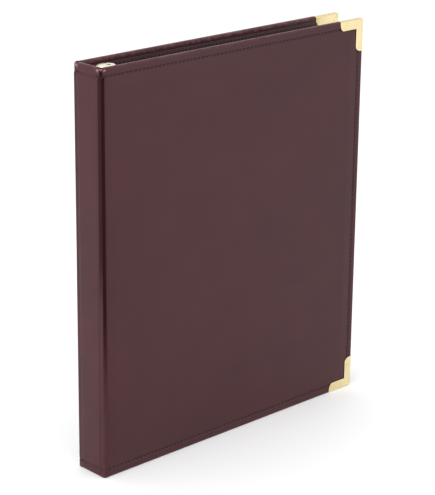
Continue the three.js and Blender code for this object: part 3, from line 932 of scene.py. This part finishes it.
def spine_profile():
    """Depth and height up the spine's skin, from the hem inside the bottom to the one inside the top."""
    hem_end = 2.4 * MM
    lower = [(COVER, BOTTOM + HEM), (COVER, BOTTOM + hem_end)]
    roll_steps = 14
    for i in range(roll_steps + 1):
        out, across = rolled(math.pi * i / roll_steps, ROLL)
        lower.append((ROLL + across, BOTTOM + ROLL - out))
    face = [(seam_dimple(z), z) for z in spine_stations() if BOTTOM + 2 * MM < z < TOP - 2 * MM]
    upper = [(depth, BOTTOM + TOP - z) for depth, z in reversed(lower)]
    return lower + face + upper


def spine_leather():
    """The spine's skin: a face with a slight crown that rolls in over both ends to a hem inside."""
    vertices, rows = [], []
    for depth, z in spine_profile():
        row = []
        for y in spread(-SPINE_HALF, SPINE_HALF, 12):
            crown = 0.12 * MM * (1 - (y / SPINE_HALF) ** 2)
            wave = 0.03 * MM * noise.noise(Vector((y * 50, z * 14, 1.7)))
            lift = crown + wave if depth < ROLL else 0
            row.append(len(vertices))
            vertices.append(Vector((SPINE_X + depth - lift, y, z)))
        rows.append(row)
    obj = make_object("spine_leather", vertices, grid_faces(rows), [LEATHER])
    mark_by_place(obj, "wear_and_highlight", spine_wear_and_highlight)
    thicken(obj, SKIN)
    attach(obj, "spine")
    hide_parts("spine_skin")


def spine_wear_and_highlight(point):
    """Scuffing and painted highlight on the rolled ends, and a painted highlight where the lips beside the
    hinges reach over.
    """
    from_end = min(point.z - BOTTOM, TOP - point.z)
    return max(EDGE_WEAR_AND_HIGHLIGHT * bell(from_end / EDGE_WEAR_AND_HIGHLIGHT_WIDTH), lip_highlight(point))


def spine_seams():
    """The stitches across the spine at its top and bottom."""
    x = SPINE_X + THREAD_DEPTH
    reach = SPINE_HALF - 0.6 * MM
    for end, z in SEAM_HEIGHTS.items():
        run = straight_run(Vector((x, -reach, z)), Vector((x, reach, z)), Vector((-1, 0, 0)))
        seam = stitch_object(f"spine_stitches_{end}", [run])
        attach(seam, "spine")
        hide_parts(f"spine_stitching_{end}")


def spine_edge_linings():
    """The lining over the two long edges of the spine board."""
    low, high = SPINE_X + HINGE_SKIN + 0.05 * MM, SPINE_X + COVER - EDGE_GAP
    for side, sign in (("front", -1), ("back", 1)):
        y = sign * (SPINE_HALF + EDGE_GAP)
        outer_y = y + sign * EDGE_LINING
        section = [(low, y), (low, outer_y), (high, outer_y), (high, y)]
        edge_lining(f"spine_edge_lining_{side}", section, BOTTOM, TOP, "spine")


class HingePath:
    """The line round the album's corner from the spine's face to the cover's face."""

    def __init__(self, panel):
        self.panel = panel
        self.face_y = panel.outer_y
        self.spine_run = HINGE_REACH - HINGE_ROUND
        self.arc = HINGE_ROUND * math.pi / 2
        cover_end = panel.x0 - SPINE_X - EDGE_GAP
        self.length = self.spine_run + self.arc + cover_end - HINGE_ROUND
        self.middle = self.spine_run + self.arc / 2

    def base(self, s):
        """Point and outward normal on the rounded corner, s along it from the spine."""
        if s < self.spine_run:
            flat, normal = (0, HINGE_REACH - s), (-1, 0)
        elif s > self.spine_run + self.arc:
            flat, normal = (HINGE_ROUND + s - self.spine_run - self.arc, 0), (0, -1)
        else:
            angle = (s - self.spine_run) / HINGE_ROUND
            normal = (-math.cos(angle), -math.sin(angle))
            flat = tuple(HINGE_ROUND * (1 + n) for n in normal)
        inward = self.panel.inward
        point = Vector((SPINE_X + flat[0], self.face_y + inward * flat[1], 0))
        return point, Vector((normal[0], inward * normal[1], 0))

    def hollow(self, z):
        """From 0 below the seam to 1 at the top end, where the leather sinks between the boards."""
        top = smoothstep((SEAM_FROM_END + 0.6 * MM - (TOP - z)) / (1.8 * MM))
        return top + 0.15 * smoothstep((SEAM_FROM_END - (z - BOTTOM)) / (3 * MM))

    def press(self, s, z):
        """How firmly the groove is pressed, from 0 to 1: most beside the cover, and fading out downwards."""
        height = (z - BOTTOM) / (TOP - BOTTOM)
        spine_side = SPINE_SIDE_PRESS[self.panel.side] * (0.2 + 0.8 * smoothstep((height - 0.4) / 0.17))
        cover_side = COVER_SIDE_PRESS * (0.12 + 0.88 * smoothstep((height - 0.13) / 0.3))
        share = smoothstep((s - self.middle) / (0.8 * MM) + 0.5)
        from_board = min(s, self.length - s)
        groove = smoothstep((from_board - 0.1 * MM) / HINGE_BANK)
        below_hollow = 1 - self.hollow(z)
        return groove * below_hollow * (spine_side + (cover_side - spine_side) * share)

    def sunk(self, s, z):
        """How far into the hollow at the ends a point lies, from 0 to 1."""
        return self.hollow(z) * hump((s - self.middle) / (0.34 * self.length))

    def fold(self, s, z):
        """How far the leather stands out from the rounded corner."""
        sunk = self.sunk(s, z)
        return -HINGE_SINK * self.press(s, z) * (1 - sunk) - HOLLOW_DEPTH * sunk

    def surface(self, s, z, lift):
        point, normal = self.base(s)
        return point + normal * (self.fold(s, z) - seam_dimple(z) + lift) + Vector((0, 0, z))

    def normal(self, s):
        return self.base(s)[1]

    def blend_ends(self):
        """Two points on the corner at mid-height, HINGE_HOLD in from the spine's end and from the cover's
        end.
        """
        up = Vector((0, 0, MID))
        first, last = self.base(HINGE_HOLD)[0], self.base(self.length - HINGE_HOLD)[0]
        return tuple(first + up), tuple(last + up)


def hinge_points(path, s, z):
    """The outer and the inner point of the strip, which thins at its ends and drops in the hollow."""
    half = HINGE_SKIN / 2
    squeeze = max(0.2, 1 - end_rounding(min(z - BOTTOM, TOP - z), half) / half)
    point, normal = path.base(s)
    drop = HOLLOW_DROP * path.sunk(s, z)
    place = point + Vector((0, 0, z + drop if z < MID else z - drop))
    outer = path.fold(s, z) - 0.8 * seam_dimple(z)
    return [place + normal * (outer - half + side * half * squeeze) for side in (1, -1)]


def hinge_faces(rows):
    """The faces of the strip from rows that hold an outer and an inner number by turns."""
    outer, inner = [row[::2] for row in rows], [row[1::2] for row in rows]
    faces = grid_faces(turned(outer)) + grid_faces(inner)
    for column in (0, -1):
        faces += grid_faces([[row[column] for row in grid] for grid in (outer, inner)])
    for number in (0, -1):
        faces += grid_faces([inner[number], outer[number]])
    return faces


def hinge_leather(panel):
    """The strip of skin and lining between spine and cover."""
    path = HingePath(panel)
    vertices, rows, painted_shades, wears_and_highlights = [], [], [], []
    for z in spine_stations():
        start = len(vertices)
        for s in spread(0, path.length, 44):
            vertices += hinge_points(path, s, z)
            painted_shades += [hinge_painted_shade(path, s, z)] * 2
            wears_and_highlights += [hinge_wear_and_highlight(path, s, z)] * 2
        rows.append(list(range(start, len(vertices))))
    strip = make_object(f"{panel.side}_hinge_leather", vertices, hinge_faces(rows), [LEATHER, LINING])
    face_outwards(strip)
    lining_inside(strip, path)
    mark(strip, "wear_and_highlight", wears_and_highlights)
    mark(strip, "painted_shade", painted_shades)
    start, end = path.blend_ends()
    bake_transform(strip)
    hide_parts(f"{panel.side}_hinge")
    for end_name, z in SEAM_HEIGHTS.items():
        hinge_stitches(path, end_name, z)


def hinge_stitches(path, end_name, z):
    """The stitches that run on round the corner at one height."""

    def place(s):
        return path.surface(s, z, 0.05 * MM)

    run = (place, path.length, path.normal)
    seam = stitch_object(f"{path.panel.side}_hinge_stitches_{end_name}", [run])
    start, end = path.blend_ends()
    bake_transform(seam)


def lining_inside(strip, path):
    """Gives the strip's inner face the lining's material."""
    corner = Vector((SPINE_X + HINGE_REACH, path.face_y + path.panel.inward * HINGE_REACH, 0))
    for polygon in strip.data.polygons:
        to_inside = corner - polygon.center
        to_inside.z = 0
        if polygon.normal.dot(to_inside) > 0 and abs(polygon.normal.z) < 0.5:
            polygon.material_index = 1


def hinge_painted_shade(path, s, z):
    """Painted shade where the groove is pressed and in the hollow, up to the rim at the top end."""
    sunk = path.sunk(s, z)
    rim = bell((TOP - z) / RIM_HEIGHT)
    return max(path.press(s, z) * (1 - sunk), smoothstep(1.6 * sunk)) * (1 - rim)


def hinge_wear_and_highlight(path, s, z):
    """The rib on the corner is scuffed a little; the rolled ends get more, scuffing and painted highlight;
    the hollow's rim gets the most, a painted highlight, as the lips do.
    """
    point = path.base(s)[0]
    corner = Vector((SPINE_X, path.face_y))
    rib = 0.2 * bell((point.xy - corner).length / (1.1 * MM))
    ends = bell(min(z - BOTTOM, TOP - z) / (1.3 * MM))
    # Painted highlight round the rim of the hollow at the top end.
    rim = 2 * bell((TOP - z) / RIM_HEIGHT) * hump((s - path.middle) / (0.5 * path.length))
    return max(rib, ends, rim, lip_highlight(point + Vector((0, 0, z))))


# ---- ring mechanism ----

def half_ring(side, level):
    """One half of a ring: round wire with a rounded tip, down to its foot in the channel."""
    node = f"{side}_half_ring_{level}"
    low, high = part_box(node)
    sign = -1 if side == "front" else 1
    wire = (high.z - low.z) / 2
    tip_gap, reach = sorted((abs(low.y), abs(high.y)))
    radius = reach - wire
    centre_x = high.x - reach
    z = (low.z + high.z) / 2
    foot_angle = math.acos((low.x - centre_x + 0.1 * MM) / radius)
    tip_angle = math.asin(tip_gap / radius)
    steps, sides = 40, 16
    path, radii = [], []
    for i in range(steps + 1):
        from_tip = (foot_angle - tip_angle) * (i / steps) ** 1.3
        angle = tip_angle + from_tip
        x, y = centre_x + radius * math.cos(angle), sign * radius * math.sin(angle)
        path.append(Vector((x, y, z)))
        radii.append(wire - end_rounding(radius * from_tip, RING_TIP_ROUND))
    mesh = bmesh.new()
    add_tube(mesh, path, radii, Vector((0, 0, 1)), sides, 0)
    obj = mesh_object(node + "_wire", mesh, [PLATE_MATERIAL])
    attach(obj, f"{side}_leaf")
    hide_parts(node)


def lever_half_width(share):
    """Half the lever's width along its length: a narrow neck, a broad body, a rounded end."""
    neck, half = LEVER_NECK / 2, LEVER_WIDTH / 2
    body = neck + (half - neck) * smoothstep((share - 0.16) / 0.42)
    end = max(0.0, (share - 0.66) / 0.34)
    return body * max(0.0, 1 - end**2.6) ** 0.42


def tongue_height(across, from_fold):
    """How high the pressed sheet stands: domed, turned down at its edges, with a fold near its end."""
    dome = LEVER_DOME * (1 - across * across)
    rim = LEVER_DOME * smoothstep((abs(across) - 0.8) / 0.2)
    return dome - rim - LEVER_FOLD * bell(from_fold / (0.35 * MM))


def tongue_layer(mesh, x0, x1, z_face, turn, below):
    """Rows of vertices along the tongue, for its face or as far below it as the sheet is thick."""
    columns, rows = 40, 14
    grid = []
    for i in range(columns + 1):
        share = 1 - (1 - i / columns) ** 1.35
        x = x0 + (x1 - x0) * share
        half = max(lever_half_width(share), 0.25 * MM)
        line = []
        for across in spread(-1, 1, rows):
            height = tongue_height(across, x - (x1 - LEVER_FOLD_BACK)) - below
            line.append(mesh.verts.new((x, half * across, z_face + turn * height)))
        grid.append(line)
    return grid


def lever_tongue(x0, x1, z_face, turn):
    """The pressed sheet of a lever, with its oval finger hole."""
    mesh = bmesh.new()
    top = tongue_layer(mesh, x0, x1, z_face, turn, 0)
    bottom = tongue_layer(mesh, x0, x1, z_face, turn, LEVER_SHEET)
    faces = grid_faces(top) + grid_faces(bottom)
    for k in (0, -1):
        faces += grid_faces(turned([[line[k] for line in top], [line[k] for line in bottom]]))
        faces += grid_faces(turned([top[k], bottom[k]]))
    for corners in faces:
        mesh.faces.new(corners)
    tongue = mesh_object("tongue", mesh, [])
    cutter = bmesh.new()
    oval = Matrix.Diagonal((*LEVER_HOLE, 1, 1))
    add_cylinder(cutter, Vector((x1 - LEVER_HOLE_BACK, 0, z_face)), oval, 1, 6 * MM)
    cut(tongue, cutter)
    return tongue


def lever(end):
    """A ring lever: tongue, strap down to the pin, and the arm between the leaves."""
    node = f"ring_lever_{end}"
    low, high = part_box(node)
    pin_low, pin_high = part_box(f"lever_pin_{end}")
    pin_x, pin_z = (pin_low.x + pin_high.x) / 2, (pin_low.z + pin_high.z) / 2
    turn = 1 if end == "top" else -1
    z_face = (high.z if end == "top" else low.z) - turn * LEVER_DOME
    neck_x = pin_x - 0.2 * MM
    tongue = lever_tongue(neck_x, high.x, z_face, turn)
    mesh = bmesh.new()
    mesh.from_mesh(tongue.data)
    bpy.data.objects.remove(tongue)
    strap_reach = (0.9 * MM, abs(z_face - pin_z) - 0.4 * MM)
    for x, thickness, width, (start, stop) in (
        (neck_x, LEVER_STRAP, LEVER_NECK, strap_reach),
        (low.x, *LEVER_ARM, LEVER_ARM_REACH),
    ):
        centre = Vector((x + thickness / 2, 0, pin_z + turn * (start + stop) / 2))
        size = Matrix.Diagonal((thickness, width, stop - start, 1))
        bmesh.ops.create_cube(mesh, size=1, matrix=Matrix.Translation(centre) @ size)
    add_cylinder(mesh, Vector((pin_x, 0, pin_z)), ACROSS, LEVER_BOSS, LEVER_NECK)
    for face in mesh.faces:
        face.smooth = True
    pressed = mesh_object(f"{node}_pressed", mesh, [LEVER_MATERIAL])
    soften(pressed, 0.12 * MM)
    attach(pressed, f"{end}_lever")
    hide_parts(node)


# ---- coin pages ----

def page_grid(lines, low, high):
    """Places across a page: the two edges and shoulders of each weld, and steps across each pocket."""
    weld = WELD_WIDTH / 2
    edge = 0.4 * MM
    places = [low, low + edge, high - edge, high]
    for line in lines:
        places += [line - weld - WELD_SHOULDER, line - weld, line + weld, line + weld + WELD_SHOULDER]
    for line, following in zip(lines, lines[1:]):
        places += [line + (following - line) * share for share in (0.12, 0.25, 0.5, 0.75, 0.88)]
    return sorted(place for place in places if low <= place <= high)


class PageLines:
    """The heat-sealed lines of a page, between its columns and its rows of pockets."""

    def __init__(self, low, high):
        self.columns = spread(low.x + HOLE_STRIP, high.x - PAGE_MARGIN_X, PAGE_COLUMNS)
        self.rows = spread(low.z + PAGE_MARGIN_Z, high.z - PAGE_MARGIN_Z, PAGE_ROWS)

    def from_weld(self, x, z):
        """How far a point is from the nearest weld, negative on it."""
        to_column = min(abs(x - line) for line in self.columns)
        to_row = min(abs(z - line) for line in self.rows)
        return min(to_column, to_row) - WELD_WIDTH / 2

    def half_thickness(self, x, z):
        if x < self.columns[0]:
            return PAGE_SHEET
        return PAGE_SHEET + (PAGE_POCKET - PAGE_SHEET) * smoothstep(self.from_weld(x, z) / (6 * MM))

    def welded(self, x, z):
        return x > self.columns[0] - WELD_WIDTH / 2 and self.from_weld(x, z) < 0


def coin_page(number):
    """A clear page: a strip with three ring holes, and pockets between heat-sealed lines."""
    node = f"coin_page_{number}"
    low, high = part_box(node)
    lines = PageLines(low, high)
    middle = (low.y + high.y) / 2
    vertices, sides = [], []
    for side in (-1, 1):
        grid = []
        for x in page_grid(lines.columns, low.x, high.x):
            column = []
            for z in page_grid(lines.rows, low.z, high.z):
                column.append(len(vertices))
                vertices.append(Vector((x, middle + side * lines.half_thickness(x, z), z)))
            grid.append(column)
        sides.append(grid)
    front, back = sides
    faces = grid_faces(front) + [face[::-1] for face in grid_faces(back)]
    flat_count = len(faces)
    for k in (0, -1):
        faces += grid_faces(turned([[column[k] for column in front], [column[k] for column in back]]))
        faces += grid_faces(turned([front[k], back[k]]))
    page = make_object(f"{node}_pockets", vertices, faces, [VINYL, WELD])
    for polygon in page.data.polygons:
        x, _, z = polygon.center
        polygon.material_index = int(polygon.index >= flat_count or lines.welded(x, z))
    face_outwards(page)
    punch_holes(page, node)
    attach(page, f"page_{number}")
    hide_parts(node)


def punch_holes(page, node):
    """Cuts the three ring holes where the CAD page has them."""
    low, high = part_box(node)
    cutter = bmesh.new()
    for level in ("top", "middle", "bottom"):
        ring_low, ring_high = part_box(f"front_half_ring_{level}")
        z = (ring_low.z + ring_high.z) / 2
        centre = Vector((low.x + PAGE_HOLE_INSET, (low.y + high.y) / 2, z))
        add_cylinder(cutter, centre, ACROSS, PAGE_HOLE, 4 * MM)
    cut(page, cutter)


# ---- carried-over CAD nodes ----

def dress_cad_nodes():
    """Gives each CAD node that stays visible its finished material."""
    finish = {
        "leather": LEATHER,
        "thread": THREAD_MATERIAL,
        "board": BOARD,
        "padding": FOAM,
        "lining": LINING,
        "brass": BRASS_MATERIAL,
        "plated_steel": PLATE_MATERIAL,
        "clear_vinyl": VINYL,
    }
    for part in frame["record"]["subparts"]:
        node = frame["nodes"][part["node"]]
        material = finish[part["material_slot"]]
        if not node.material_slots:
            node.data.materials.append(material)
        for material_slot in node.material_slots:
            material_slot.material = material


# ---- studio ----

def studio():
    scene = bpy.context.scene
    scene.view_settings.view_transform = "Standard"
    corners = [(-FLOOR, -FLOOR, 0), (FLOOR, -FLOOR, 0), (FLOOR, FLOOR, 0), (-FLOOR, FLOOR, 0)]
    floor = make_object("floor", corners, [(0, 1, 2, 3)], [floor_material()], False)
    floor.location.z = -0.2 * MM
    world = bpy.data.worlds.new("studio")
    scene.world = world
    world.use_nodes = True
    background = world.node_tree.nodes["Background"]
    background.inputs["Color"].default_value = (1.0, 1.0, 1.0, 1)
    background.inputs["Strength"].default_value = 1.0
    area_light("key", (-2.1, -0.45, 0.7), 1.6, 30)
    area_light("fill", (1.1, -2.2, 0.6), 1.4, 9.5)
    area_light("top", (-0.2, -0.1, 2.3), 1.8, 6)


def floor_material():
    material, tree, shader = node_material("pale_floor")
    tint = object_noise(tree, 3, 2)
    colour = ramp(tree, tint, (0.3, (0.875, 0.88, 0.885)), (0.7, (0.89, 0.892, 0.895)))
    tree.links.new(colour, shader.inputs["Base Color"])
    shader.inputs["Roughness"].default_value = 0.7
    shader.inputs["Emission Color"].default_value = (1.0, 1.0, 1.0, 1)
    shader.inputs["Emission Strength"].default_value = 0.11
    return material


def area_light(name, place, size, power):
    data = bpy.data.lights.new(name, "AREA")
    data.size = size
    data.energy = power
    light = bpy.data.objects.new(name, data)
    light.location = place
    aim = Vector((0, 0, MID)) - Vector(place)
    light.rotation_euler = aim.to_track_quat("-Z", "Y").to_euler()
    bpy.context.scene.collection.objects.link(light)


def camera():
    """A long lens from the front and spine side, a little above the album."""
    azimuth, elevation, roll = math.radians(-43.45), math.radians(18.83), math.radians(0.64)
    back = Vector(
        (
            math.sin(azimuth) * math.cos(elevation),
            -math.cos(azimuth) * math.cos(elevation),
            math.sin(elevation),
        )
    )
    right = (-back).cross(Vector((0, 0, 1))).normalized()
    up = right.cross(-back)
    tilted_right = right * math.cos(roll) + up * math.sin(roll)
    tilted_up = up * math.cos(roll) - right * math.sin(roll)
    data = bpy.data.cameras.new("camera")
    data.sensor_width = 36
    data.lens = 133.1
    view = bpy.data.objects.new("camera", data)
    pose = Matrix((tilted_right, tilted_up, back)).transposed().to_4x4()
    pose.translation = Vector((-0.8814, -0.9238, 0.5765))
    view.matrix_world = pose
    bpy.context.scene.collection.objects.link(view)
    bpy.context.scene.camera = view


camera()
studio()
dress_cad_nodes()
for cover_side in ("front", "back"):
    cover_panel = Panel(cover_side)
    cover_skin(cover_panel)
    cover_seam(cover_panel)
    cover_edge_lining(cover_panel)
    hinge_leather(cover_panel)
    for corner_end in ("top", "bottom"):
        brass_corner(cover_panel, corner_end)
    for ring_level in ("top", "middle", "bottom"):
        half_ring(cover_side, ring_level)
spine_leather()
spine_seams()
spine_edge_linings()
for lever_end in ("top", "bottom"):
    lever(lever_end)
for page_number in (1, 2, 3, 4):
    coin_page(page_number)
